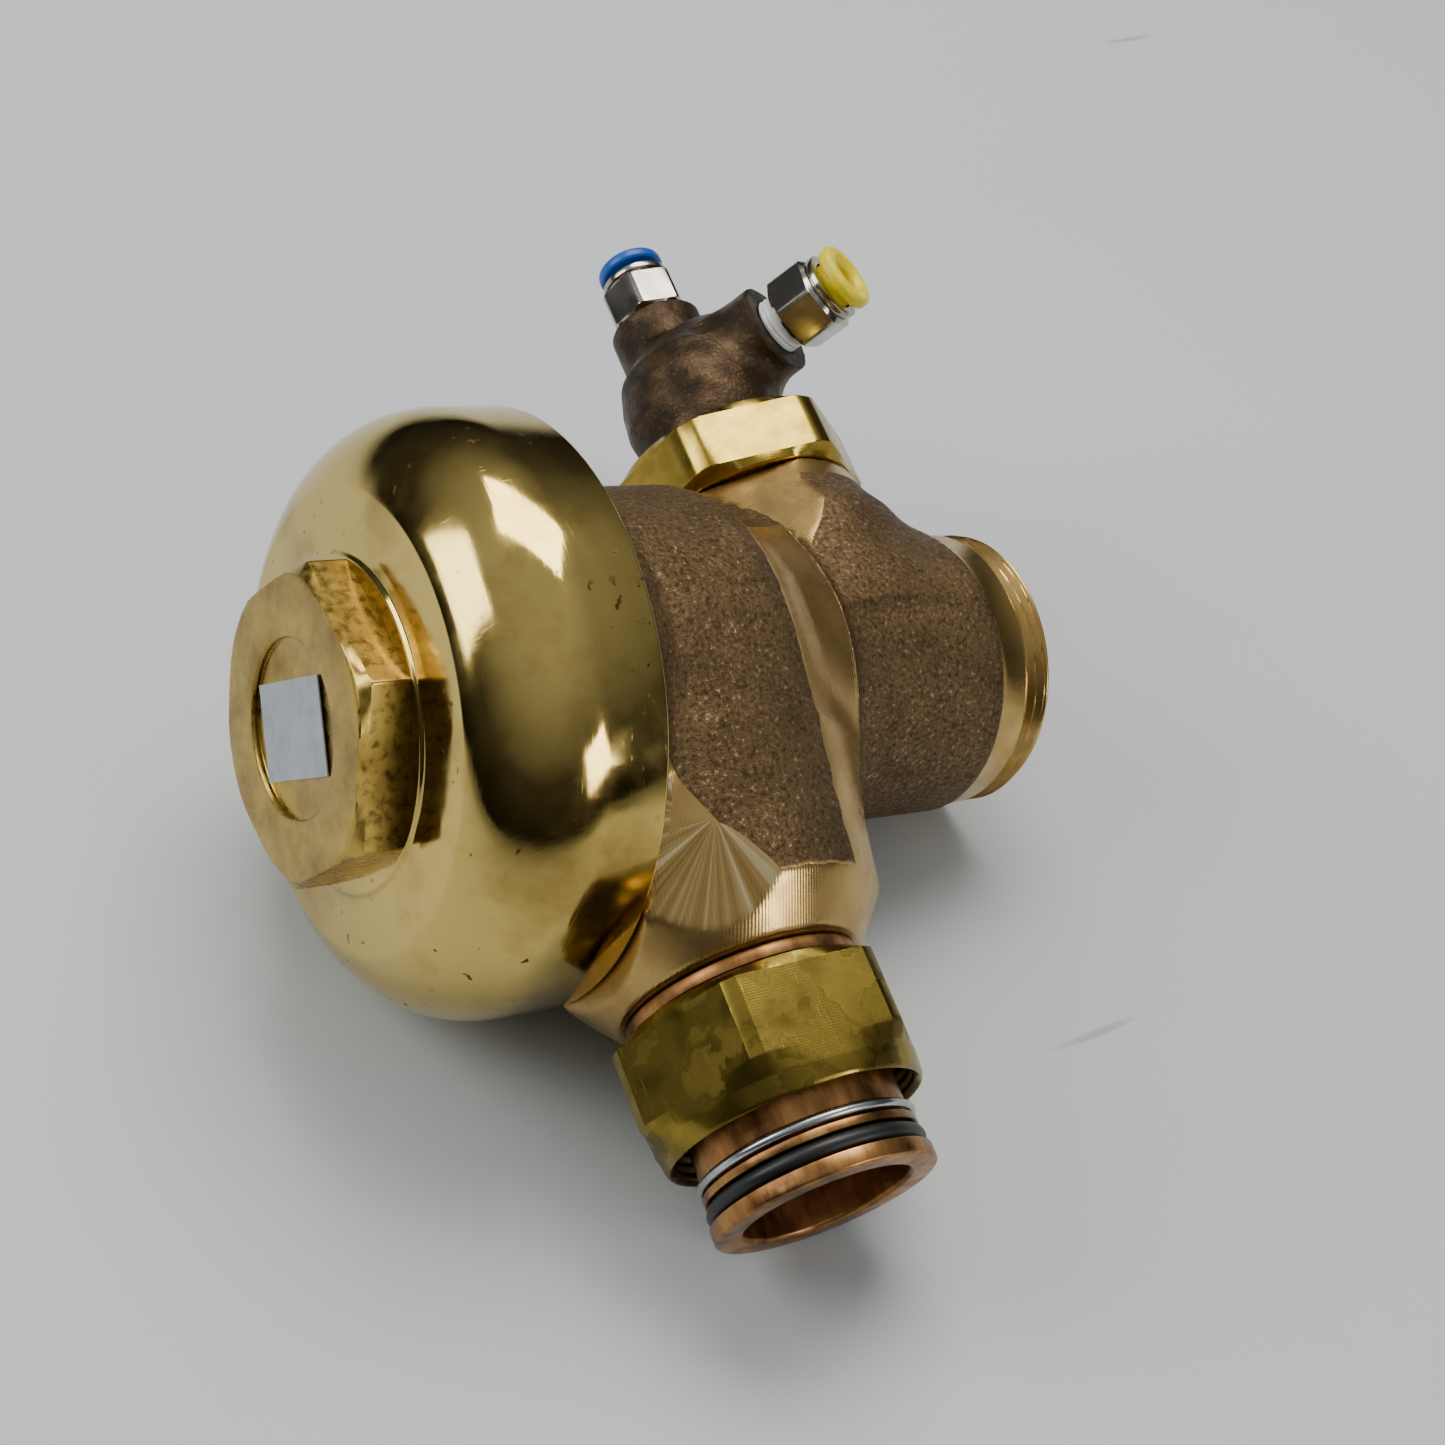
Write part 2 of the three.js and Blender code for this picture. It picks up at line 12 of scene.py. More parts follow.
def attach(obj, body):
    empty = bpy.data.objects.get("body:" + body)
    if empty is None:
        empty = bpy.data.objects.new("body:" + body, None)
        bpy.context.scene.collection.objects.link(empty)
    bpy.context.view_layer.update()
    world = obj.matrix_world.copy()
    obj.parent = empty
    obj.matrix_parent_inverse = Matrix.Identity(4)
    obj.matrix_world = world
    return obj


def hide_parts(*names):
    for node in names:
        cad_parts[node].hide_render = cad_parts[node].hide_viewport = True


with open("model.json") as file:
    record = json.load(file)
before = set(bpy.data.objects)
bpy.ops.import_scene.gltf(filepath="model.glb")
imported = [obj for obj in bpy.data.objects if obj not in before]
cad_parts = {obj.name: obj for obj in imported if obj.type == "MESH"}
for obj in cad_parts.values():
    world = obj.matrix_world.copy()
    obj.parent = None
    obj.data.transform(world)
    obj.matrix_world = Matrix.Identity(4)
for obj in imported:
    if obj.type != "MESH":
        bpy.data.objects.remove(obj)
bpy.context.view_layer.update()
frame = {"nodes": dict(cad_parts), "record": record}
print("frame loaded:", len(frame["nodes"]), "nodes")

# the valve's own axes:
# x runs from the domed cover to the outlet, y from the inlet tail to the actuator, z is the upper side
mm = 0.001
mounts = {m["name"]: m for m in frame["record"]["mounts"]}


def unit(vector):
    vector = np.array(vector, float)
    return vector / np.linalg.norm(vector)


outletFace = {"along": 77.6, "up": 21.8}  # where the outlet's mount stands, in the valve's axes
valveX = unit(mounts["outlet_end"]["axis"])
valveY = -unit(mounts["inlet_tail_end"]["axis"])
valveY = unit(valveY - valveX * (valveY @ valveX))
valveZ = np.cross(valveX, valveY)
valveAxes = np.array([valveX, valveY, valveZ])
valveOrigin = (np.array(mounts["outlet_end"]["pos_m"])
               - np.array([outletFace["along"], 0, outletFace["up"]]) * mm @ valveAxes)


def toRow(points):
    # row point = origin + x, y and z parts along the valve's three axes
    return valveOrigin + np.asarray(points, float) * mm @ valveAxes


# where the camera stands, in the valve's axes and millimetres, and which way it looks
view = {"place": (-227.5, -176.7, 313.8), "look": (0.5672, 0.3923, -0.7242),
        "up": (0.0835, 0.8473, 0.5244), "lens": 61.0}


def makeCamera():
    data = bpy.data.cameras.new("camera")
    data.lens = view["lens"]
    data.sensor_width = 36
    camera = bpy.data.objects.new("camera", data)
    bpy.context.scene.collection.objects.link(camera)
    back = -Vector(np.array(view["look"]) @ valveAxes).normalized()
    right = Vector(np.array(view["up"]) @ valveAxes).cross(back).normalized()
    turn = Matrix((right, back.cross(right), back)).transposed()
    camera.matrix_world = Matrix.Translation(toRow(view["place"])) @ turn.to_4x4()
    bpy.context.scene.camera = camera


def srgb(code):
    # each channel c of the hex code: c / 12.92 when dark, otherwise ((c + 0.055) / 1.055) ** 2.4
    parts = [int(code[i:i + 2], 16) / 255 for i in (1, 3, 5)]
    return tuple(c / 12.92 if c <= 0.04045 else ((c + 0.055) / 1.055) ** 2.4 for c in parts) + (1,)


def addNode(tree, kind, links=None, **settings):
    # a node with its settings; links names its sockets and what feeds each: a value or another's output
    node = tree.nodes.new("ShaderNode" + kind)
    for key, value in settings.items():
        setattr(node, key, value)
    for key, value in (links or {}).items():
        if isinstance(value, bpy.types.NodeSocket):
            tree.links.new(value, node.inputs[key])
        else:
            node.inputs[key].default_value = value
    return node


def newMaterial(name):
    material = bpy.data.materials.new(name)
    material.use_nodes = True
    tree = material.node_tree
    tree.nodes.clear()
    return material, tree


def finishMaterial(tree, shader):
    output = addNode(tree, "OutputMaterial")
    tree.links.new(shader.outputs[0], output.inputs["Surface"])


bench = {"size": 6.0, "tone": "#cbcecd", "scuff": "#8f979a", "roughness": 0.55}


def makeBench():
    # painted board: pale grey, faint broad mottling and a few dark scuffs
    material, tree = newMaterial("painted_board")
    place = addNode(tree, "TexCoord").outputs["Object"]
    broad = addNode(tree, "TexNoise", {"Vector": place, "Scale": 5.0, "Detail": 4.0})
    long = addNode(tree, "Mapping", {"Vector": place, "Rotation": (0, 0, 0.9), "Scale": (9, 90, 1)})
    streak = addNode(tree, "TexNoise", {"Vector": long.outputs[0], "Scale": 1.0, "Detail": 2.0})
    few = addNode(tree, "MapRange", {"Value": streak.outputs[0], "From Min": 0.735, "From Max": 0.78})
    tone = addNode(tree, "MixRGB", {"Fac": broad.outputs[0], "Color1": srgb(bench["tone"]),
                                    "Color2": srgb("#c3c7c6")})
    scuffed = addNode(tree, "MixRGB", {"Fac": few.outputs[0], "Color1": tone.outputs[0],
                                       "Color2": srgb(bench["scuff"])})
    shader = addNode(tree, "BsdfPrincipled", {"Base Color": scuffed.outputs[0],
                                              "Roughness": bench["roughness"]})
    finishMaterial(tree, shader)
    half = bench["size"] / 2
    mesh = bpy.data.meshes.new("bench_top")
    mesh.from_pydata([(-half, -half, 0), (half, -half, 0), (half, half, 0), (-half, half, 0)], [],
                     [(0, 1, 2, 3)])
    mesh.materials.append(material)
    top = bpy.data.objects.new("bench_top", mesh)
    bpy.context.scene.collection.objects.link(top)


lights = {
    "ceiling": {"place": (0.25, 0.35, 0.95), "size": (0.75, 0.5), "power": 9.0, "tint": (1, 0.98, 0.95)},
    "window": {"place": (-0.75, 0.35, 0.6), "size": (0.5, 0.6), "power": 5.5, "tint": (0.95, 0.98, 1)},
    "low": {"place": (0.35, -0.8, 0.35), "size": (0.35, 0.25), "power": 2.2, "tint": (1, 1, 1)},
}


def makeLights():
    for name, facts in lights.items():
        data = bpy.data.lights.new(name, "AREA")
        data.shape = "RECTANGLE"
        data.size, data.size_y = facts["size"]
        data.energy = facts["power"]
        data.color = facts["tint"]
        lamp = bpy.data.objects.new(name, data)
        bpy.context.scene.collection.objects.link(lamp)
        lamp.location = facts["place"]
        aim = Vector((0, 0, 0.04)) - Vector(facts["place"])
        lamp.rotation_euler = aim.to_track_quat("-Z", "Y").to_euler()
    world = bpy.data.worlds.new("room")
    bpy.context.scene.world = world
    world.use_nodes = True
    tree = world.node_tree
    tree.nodes.clear()
    # a dim room: dark near the horizon and lighter overhead, so that polished metal has something to show
    direction = addNode(tree, "TexCoord").outputs["Generated"]
    height = addNode(tree, "SeparateXYZ", {"Vector": direction}).outputs["Z"]
    ramp = addNode(tree, "ValToRGB", {"Fac": height})
    stops = ramp.color_ramp.elements
    stops[0].position, stops[0].color = 0.0, srgb("#1d1c1b")
    stops[1].position, stops[1].color = 0.9, srgb("#c9cdd0")
    middle = stops.new(0.35)
    middle.color = srgb("#4c4d4d")
    glow = addNode(tree, "Background", {"Color": ramp.outputs[0], "Strength": 0.8})
    output = addNode(tree, "OutputWorld")
    tree.links.new(glow.outputs[0], output.inputs["Surface"])


makeCamera()
makeBench()
makeLights()
print("camera, bench and lights made")


def layMesh(name, points, faces):
    # the enclosed volume is the sum of a . (b x c) / 6 over triangles; a negative one means inside out
    points = np.asarray(points, float)
    volume = 0.0
    for block in faces:
        corner = points[np.asarray(block)]
        for i in range(1, corner.shape[1] - 1):
            volume += np.einsum("ij,ij->i", corner[:, 0], np.cross(corner[:, i], corner[:, i + 1])).sum()
    lists = []
    for block in faces:
        block = np.asarray(block)
        lists += (block[:, ::-1] if volume < 0 else block).tolist()
    mesh = bpy.data.meshes.new(name)
    mesh.from_pydata(toRow(points).tolist(), [], lists)
    mesh.validate()
    return mesh


def makePiece(name, mesh, material, body, replaced, crease=32):
    mesh.materials.append(material)
    mesh.polygons.foreach_set("use_smooth", [True] * len(mesh.polygons))
    mesh.set_sharp_from_angle(angle=math.radians(crease))
    piece = bpy.data.objects.new(name, mesh)
    bpy.context.scene.collection.objects.link(piece)
    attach(piece, body)
    if replaced:
        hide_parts(*replaced)
    return piece


def rounded(profile, size=0.3, steps=3):
    # each corner gives way to a short curve: start (1-t)^2 + corner 2t(1-t) + end t^2
    rows = [np.array(row, float) for row in profile]
    result = []
    for before, here, after in zip([rows[-1]] + rows[:-1], rows, rows[1:] + [rows[0]]):
        if here[1] <= 0:
            result.append(here)
            continue
        back, on = before[:2] - here[:2], after[:2] - here[:2]
        reachBack, reachOn = np.linalg.norm(back), np.linalg.norm(on)
        cut = min(size, 0.4 * reachBack, 0.4 * reachOn)
        if cut < 0.02:
            result.append(here)
            continue
        first, last = here[:2] + back / reachBack * cut, here[:2] + on / reachOn * cut
        for t in np.linspace(0, 1, steps + 1):
            spot = first * (1 - t) ** 2 + here[:2] * 2 * t * (1 - t) + last * t ** 2
            result.append(np.concatenate([spot, here[2:]]))
    return np.array(result)


def curveRow(along, radius, size, start, end, steps=16):
    # arc in the (along, radius) plane: centre + size (cos, sin)
    angle = np.radians(np.linspace(start, end, steps + 1))
    return [(along + size * math.cos(a), radius + size * math.sin(a), 0, 0) for a in angle]


def full(profile):
    # rows as (along, radius, hexagon, thread depth)
    return [tuple(row) + (0,) * (4 - len(row)) for row in profile]


def turnedMesh(name, profile, start, direction, sideways, flats=0, turn=0, pitch=2.0, sides=192):
    # surface of revolution: start + along * direction + radius * (cos u + sin w)
    # where a row is marked as hexagon the radius is held to flats / 2 / cos(angle from the flat's middle)
    # a thread adds twice its depth * (1 - |2 saw - 1|), its saw running once round per pitch
    profile = np.array(full(profile), float)
    direction, sideways = unit(direction), unit(sideways)
    third = np.cross(direction, sideways)
    if flats:
        near = np.array([0, 0.35, 0.8, 1.6, 3])
        sector = np.concatenate([near, np.linspace(6, 54, 9), 60 - near[:0:-1]])
        angle = np.radians((sector[None, :] + 60 * np.arange(6)[:, None] + turn).ravel())
    else:
        angle = np.linspace(0, 2 * np.pi, sides, endpoint=False)
    radius = np.repeat(profile[:, 1:2], len(angle), 1)
    if flats:
        fromFlat = (np.degrees(angle) - turn) % 60 - 30
        held = flats / 2 / np.cos(np.radians(fromFlat))
        marked = profile[:, 2:3] > 0
        radius = np.where(marked, np.minimum(radius, held[None, :]), radius)
    saw = (profile[:, 0:1] / pitch - angle[None, :] / (2 * np.pi)) % 1
    radius = radius + profile[:, 3:4] * (1 - np.abs(2 * saw - 1)) * 2
    round_ = np.cos(angle)[None, :, None] * sideways + np.sin(angle)[None, :, None] * third
    points = np.array(start, float) + profile[:, 0][:, None, None] * direction + radius[:, :, None] * round_
    rows, columns = radius.shape
    onAxis = profile[0, 1] <= 0
    index = np.arange(rows * columns).reshape(rows, columns)
    step = np.roll(index, -1, 1)
    if onAxis:
        inner = index[1:-1]
        innerStep = step[1:-1]
        quads = np.stack([inner[:-1], inner[1:], innerStep[1:], innerStep[:-1]], -1).reshape(-1, 4)
        first, last = rows * columns, rows * columns + 1
        firstFan = np.stack([np.full(columns, first), inner[0], innerStep[0]], -1)
        lastFan = np.stack([inner[-1], np.full(columns, last), innerStep[-1]], -1)
        tips = np.array(start, float) + profile[[0, -1], 0][:, None] * direction
        points = np.concatenate([points.reshape(-1, 3), tips])
        faces = [quads, np.concatenate([firstFan, lastFan])]
        used = np.unique(np.concatenate([quads.ravel(), faces[1].ravel()]))
        renumber = np.zeros(len(points), int)
        renumber[used] = np.arange(len(used))
        return layMesh(name, points[used], [renumber[block] for block in faces])
    down = np.roll(index, -1, 0)
    downStep = np.roll(step, -1, 0)
    quads = np.stack([index, down, downStep, step], -1).reshape(-1, 4)
    return layMesh(name, points.reshape(-1, 3), [quads])


def smoothUnion(a, b, size):
    # smaller of two fields, rounded where they are within size of each other
    near = np.maximum(size - np.abs(a - b), 0) / size
    return np.minimum(a, b) - near * near * size / 4


def alongField(along, radial, profile, low=None, high=None):
    # radial distance less the profile's radius there, closed off at both ends
    at, radius = np.array(profile, float).T
    field = radial - np.interp(along, at, radius)
    low = at[0] if low is None else low
    high = at[-1] if high is None else high
    return np.maximum(field, np.maximum(low - along, along - high))


def fieldGrid(low, high, step):
    axes = [np.arange(a, b, step, dtype=np.float32) for a, b in zip(low, high)]
    return np.meshgrid(*axes, indexing="ij")


def fieldMesh(name, values, low, step):
    # the surface where the field is nought
    grid = openvdb.FloatGrid()
    grid.background = 5.0
    grid.copyFromArray(np.ascontiguousarray(np.clip(values, -5, 5), dtype=np.float32))
    points, triangles, quads = grid.convertToPolygons(isovalue=0.0, adaptivity=0.0)
    points = np.asarray(points, float) * step + np.array(low)
    faces = [block for block in (triangles, quads) if len(block)]
    return layMesh(name, points, faces)


# milled flats on the side bosses, the same above and below: a plane's direction and its distance
inletMill = {"way": (-0.476, -0.351, 0.806), "away": 41.5}
portMill = {"way": (-0.476, 0.351, 0.806), "away": 9.5, "limit": (0.958, 0.286), "limitAway": 34.2}

valveTurn = Matrix(valveAxes.tolist()).transposed().to_euler()


def valvePlace(tree, scale=(1, 1, 1)):
    # Object coordinates turned and centred on the valve's axes, in millimetres
    place = addNode(tree, "TexCoord").outputs["Object"]
    mapped = addNode(tree, "Mapping", {"Vector": place, "Location": tuple(valveOrigin),
                                       "Rotation": tuple(valveTurn), "Scale": (mm, mm, mm)},
                     vector_type="TEXTURE").outputs[0]
    if scale == (1, 1, 1):
        return mapped
    return addNode(tree, "Mapping", {"Vector": mapped, "Scale": scale}).outputs[0]


def noise(tree, place, size, detail=3.0, roughness=0.55, kind="TexNoise"):
    # size is the pattern's spacing in millimetres
    return addNode(tree, kind, {"Vector": place, "Scale": 1 / size, "Detail": detail,
                                "Roughness": roughness}).outputs[0]


def ramp(tree, value, low, high, to=(0, 1)):
    return addNode(tree, "MapRange", {"Value": value, "From Min": low, "From Max": high,
                                      "To Min": to[0], "To Max": to[1]}).outputs[0]


def mix(tree, factor, first, second):
    first = srgb(first) if isinstance(first, str) else first
    second = srgb(second) if isinstance(second, str) else second
    return addNode(tree, "MixRGB", {"Fac": factor, "Color1": first, "Color2": second}).outputs[0]


def calc(tree, operation, first, second=0.0, third=0.0, clamp=False):
    node = addNode(tree, "Math", {0: first, 1: second, 2: third}, operation=operation)
    node.use_clamp = clamp
    return node.outputs[0]


def between(tree, value, low, high, soft=0.15):
    # 1 inside low..high, 0 outside, with soft edges
    rise = ramp(tree, value, low - soft, low + soft)
    fall = ramp(tree, value, high - soft, high + soft, (1, 0))
    return calc(tree, "MULTIPLY", rise, fall)


def bump(tree, height, distance, strength=1.0, normal=None):
    # distance is the height of the pattern in millimetres
    links = {"Height": height, "Distance": distance * mm, "Strength": strength}
    if normal is not None:
        links["Normal"] = normal
    return addNode(tree, "Bump", links).outputs[0]


def metalShader(tree, color, roughness, normal=None, metallic=1.0):
    links = {"Base Color": color, "Roughness": roughness, "Metallic": metallic}
    if normal is not None:
        links["Normal"] = normal
    return addNode(tree, "BsdfPrincipled", links)


def turningLines(tree, along, spacing):
    # lathe marks: rings of equal spacing along the axis; drawn a little coarser than real so they show
    wave = calc(tree, "SINE", calc(tree, "MULTIPLY", along, 2 * math.pi / spacing))
    return calc(tree, "MULTIPLY_ADD", wave, 0.5, 0.5)


def polishedBrass():
    # yellow brass, buffed to a mirror: fine buffing scratches, small tarnish spots, brown smears
    material, tree = newMaterial("polished_brass")
    place = valvePlace(tree)
    smear = ramp(tree, noise(tree, place, 26, 5, 0.6), 0.5, 0.78)
    color = mix(tree, smear, "#d2b566", "#8a6c30")
    speck = ramp(tree, noise(tree, place, 2.2, 2, 0.4), 0.69, 0.73)
    zone = ramp(tree, noise(tree, place, 17, 2), 0.47, 0.62)
    speck = calc(tree, "MULTIPLY", speck, zone)
    color = mix(tree, speck, color, "#5b3a1c")
    fineA = noise(tree, valvePlace(tree, (1.6, 0.12, 0.12)), 1.0, 3)
    fineB = noise(tree, valvePlace(tree, (0.13, 1.7, 0.2)), 1.0, 3)
    scratches = calc(tree, "ADD", ramp(tree, fineA, 0.62, 0.68), ramp(tree, fineB, 0.64, 0.7))
    haze = ramp(tree, noise(tree, place, 9, 4), 0.35, 0.75, (0.07, 0.2))
    roughness = calc(tree, "ADD", haze, calc(tree, "MULTIPLY", speck, 0.35))
    wavy = bump(tree, noise(tree, place, 14, 1), 0.22)
    normal = bump(tree, scratches, 0.004, 0.6, wavy)
    finishMaterial(tree, metalShader(tree, color, roughness, normal))
    return material


def hexagonBrass():
    # the cast hexagon, brushed by hand and lightly peened: warmer and duller than the dome
    material, tree = newMaterial("brushed_brass")
    place = valvePlace(tree)
    blotch = ramp(tree, noise(tree, place, 9, 4), 0.35, 0.7)
    color = mix(tree, blotch, "#bfa050", "#8b6f34")
    dent = noise(tree, place, 1.6, 3, 0.5)
    normal = bump(tree, dent, 0.03, 0.5)
    roughness = ramp(tree, dent, 0.3, 0.7, (0.2, 0.42))
    finishMaterial(tree, metalShader(tree, color, roughness, normal))
    return material


def machinedBrass(tree, place, along, tone="#cfae6e"):
    # bright lathe-turned bronze: ring marks and a satin sheen
    drift = noise(tree, place, 7, 3)
    color = mix(tree, drift, tone, "#a98348")
    lines = turningLines(tree, calc(tree, "MULTIPLY_ADD", noise(tree, place, 20, 1), 0.4, along), 0.55)
    return color, ramp(tree, drift, 0.3, 0.7, (0.2, 0.36)), lines


def nearPlane(tree, x, y, lift, mill, where):
    # 1 on the milled plane: |way . point - away| under about a tenth of a millimetre
    first = calc(tree, "MULTIPLY_ADD", x, mill["way"][0], -mill["away"])
    second = calc(tree, "MULTIPLY_ADD", y, mill["way"][1], first)
    away = calc(tree, "MULTIPLY_ADD", lift, mill["way"][2], second)
    return calc(tree, "MULTIPLY", calc(tree, "LESS_THAN", calc(tree, "ABSOLUTE", away), 0.12), where)


def castBronze():
    # sand-cast red bronze, left as cast: a sparkling grain a little under a millimetre
    # the lathe and the mill have cut bright bands and flats through that skin
    material, tree = newMaterial("cast_bronze")
    place = valvePlace(tree)
    parts = addNode(tree, "SeparateXYZ", {"Vector": place})
    x, y, z = parts.outputs
    ragged = calc(tree, "MULTIPLY_ADD", noise(tree, place, 3.5, 3), 1.6, -0.8)
    edge = calc(tree, "ADD", x, ragged)
    band = between(tree, edge, 12.6, 29.6, 0.12)
    band = calc(tree, "MULTIPLY", band, calc(tree, "LESS_THAN", y, 19.0))
    endRing = ramp(tree, x, 64.7, 64.8)
    cone = ramp(tree, calc(tree, "ADD", y, ragged), -48.2, -48.8, (0, 1))
    portEnd = calc(tree, "GREATER_THAN", y, 31.3)
    lift = calc(tree, "ABSOLUTE", z)
    inletFlat = nearPlane(tree, x, y, lift, inletMill, calc(tree, "LESS_THAN", y, -30.0))
    portFlat = nearPlane(tree, x, y, lift, portMill, calc(tree, "GREATER_THAN", y, 9.0))
    # on the inlet flat, painted highlight and painted shade stand in for the light caught by the cutter's
    # circular marks: rays of light and dark in bands of equal angle from the cutter's centre, the fan's apex
    ray = calc(tree, "ARCTAN2", calc(tree, "ADD", y, 38.3), calc(tree, "ADD", x, 12.0))
    rays = addNode(tree, "TexNoise", {"W": ray, "Scale": 3.4, "Detail": 3.0, "Roughness": 0.6},
                   noise_dimensions="1D").outputs[0]
    paintedHighlightRays, paintedShadeRays = ramp(tree, rays, 0.5, 0.66, (0, 0.7)), ramp(tree, rays, 0.34, 0.5, (0.65, 0))
    # the cover's seat was turned into the inlet boss as well
    seatEdge = calc(tree, "MULTIPLY_ADD", y, -0.54, -32.7)
    seatCut = calc(tree, "MULTIPLY", calc(tree, "LESS_THAN", x, seatEdge), calc(tree, "LESS_THAN", y, -25.0))
    machined = band
    for patch in (endRing, cone, portEnd, inletFlat, portFlat, seatCut):
        machined = calc(tree, "MAXIMUM", machined, patch)
    away = calc(tree, "SQRT", calc(tree, "ADD", calc(tree, "MULTIPLY", y, y), calc(tree, "MULTIPLY", z, z)))
    inside = calc(tree, "LESS_THAN", away, 22.0)
    machined = calc(tree, "MAXIMUM", machined, calc(tree, "MULTIPLY", inside, endRing))

    grain = noise(tree, place, 0.85, 4, 0.7)
    lump = noise(tree, place, 2.6, 3, 0.6)
    patchy = noise(tree, place, 12, 3)
    skin = mix(tree, ramp(tree, patchy, 0.35, 0.7), "#624e34", "#786042")
    skin = mix(tree, ramp(tree, grain, 0.36, 0.5, (0.75, 0)), skin, "#33261a")
    skin = mix(tree, ramp(tree, grain, 0.6, 0.7, (0, 0.85)), skin, "#c2a582")
    rough = ramp(tree, grain, 0.45, 0.7, (0.62, 0.4))
    bright, brightRough, lines = machinedBrass(tree, place, x)
    # painted highlight rays, then painted shade rays, laid over the inlet flat's colour
    bright = mix(tree, calc(tree, "MULTIPLY", inletFlat, paintedHighlightRays), bright, "#f4e3b4")
    bright = mix(tree, calc(tree, "MULTIPLY", inletFlat, paintedShadeRays), bright, "#6f5a34")
    color = mix(tree, machined, skin, bright)
    roughness = addNode(tree, "Mix", {0: machined, 2: rough, 3: brightRough}).outputs[0]
    castHeight = calc(tree, "ADD", grain, calc(tree, "MULTIPLY", lump, 0.8))
    castHeight = calc(tree, "MULTIPLY", castHeight, calc(tree, "SUBTRACT", 1.0, machined))
    lineHeight = calc(tree, "MULTIPLY", lines, calc(tree, "MULTIPLY", machined, 0.05))
    normal = bump(tree, calc(tree, "ADD", castHeight, lineHeight), 0.3, 0.9)
    finishMaterial(tree, metalShader(tree, color, roughness, normal, 0.9))
    return material


def darkCastBronze():
    # small sand casting under a dark brown oxide, rubbed lighter on its high spots
    material, tree = newMaterial("dark_cast_bronze")
    place = valvePlace(tree)
    grain = noise(tree, place, 0.9, 4, 0.65)
    patchy = noise(tree, place, 6, 4)
    color = mix(tree, ramp(tree, patchy, 0.4, 0.7), "#33281c", "#5a462f")
    color = mix(tree, ramp(tree, grain, 0.6, 0.75, (0, 0.6)), color, "#86694a")
    height = calc(tree, "ADD", grain, calc(tree, "MULTIPLY", patchy, 1.5))
    normal = bump(tree, height, 0.28, 0.8)
    roughness = ramp(tree, patchy, 0.35, 0.7, (0.55, 0.33))
    finishMaterial(tree, metalShader(tree, color, roughness, normal, 0.85))
    return material


def machinedMetal(name, light, dark, spacing, roughness, axis="Y", stain=None, stainSize=9.0):
    # turned or milled brass and steel: tool marks across the axis, slow drift in tone, optional stains
    material, tree = newMaterial(name)
    place = valvePlace(tree)
    parts = addNode(tree, "SeparateXYZ", {"Vector": place})
    drift = noise(tree, place, 8, 4)
    color = mix(tree, ramp(tree, drift, 0.35, 0.68), light, dark)
    rough = ramp(tree, drift, 0.3, 0.7, roughness)
    if stain:
        # dried water: a thin dark edge around a slightly darker pool
        pool = noise(tree, place, stainSize, 3, 0.5)
        inside = ramp(tree, pool, 0.52, 0.6)
        rim = between(tree, pool, 0.535, 0.565, 0.012)
        color = mix(tree, calc(tree, "MULTIPLY", inside, 0.4), color, stain)
        color = mix(tree, calc(tree, "MULTIPLY", rim, 0.3), color, stain)
        rough = calc(tree, "ADD", rough, calc(tree, "MULTIPLY", inside, 0.14))
    lines = turningLines(tree, parts.outputs[axis], spacing)
    scratch = ramp(tree, noise(tree, valvePlace(tree, (1.1, 0.15, 1.1)), 1.0, 3), 0.6, 0.7)
    height = calc(tree, "ADD", calc(tree, "MULTIPLY", lines, 0.5), scratch)
    normal = bump(tree, height, 0.008, 0.8)
    finishMaterial(tree, metalShader(tree, color, rough, normal))
    return material


def copperBrown():
    # red brass tube, worn and heat brown, with darker drawn stains along it
    material, tree = newMaterial("red_brass")
    place = valvePlace(tree)
    streak = noise(tree, valvePlace(tree, (0.22, 0.06, 0.22)), 1.0, 4, 0.6)
    blotch = noise(tree, place, 5, 4, 0.6)
    color = mix(tree, ramp(tree, streak, 0.38, 0.66), "#b88450", "#6d4a2d")
    color = mix(tree, ramp(tree, blotch, 0.56, 0.72, (0, 0.6)), color, "#cf9f62")
    rough = ramp(tree, blotch, 0.3, 0.7, (0.24, 0.46))
    normal = bump(tree, noise(tree, place, 0.9, 3), 0.02, 0.6)
    finishMaterial(tree, metalShader(tree, color, rough, normal))
    return material


def plainPlastic(name, tone, roughness, grainSize=0.6, height=0.01, coat=0.0, ior=1.49):
    # moulded plastic or rubber: a soft grain and a little handling wear
    material, tree = newMaterial(name)
    place = valvePlace(tree)
    grain = noise(tree, place, grainSize, 2)
    wear = noise(tree, place, 4, 4)
    darker = tuple(c * 0.72 for c in srgb(tone)[:3]) + (1,)
    color = mix(tree, ramp(tree, wear, 0.4, 0.75), srgb(tone), darker)
    rough = ramp(tree, wear, 0.3, 0.7, (roughness, roughness + 0.12))
    shader = addNode(tree, "BsdfPrincipled", {
        "Base Color": color, "Roughness": rough, "Normal": bump(tree, grain, height), "IOR": ior,
        "Coat Weight": coat})
    finishMaterial(tree, shader)
    return material


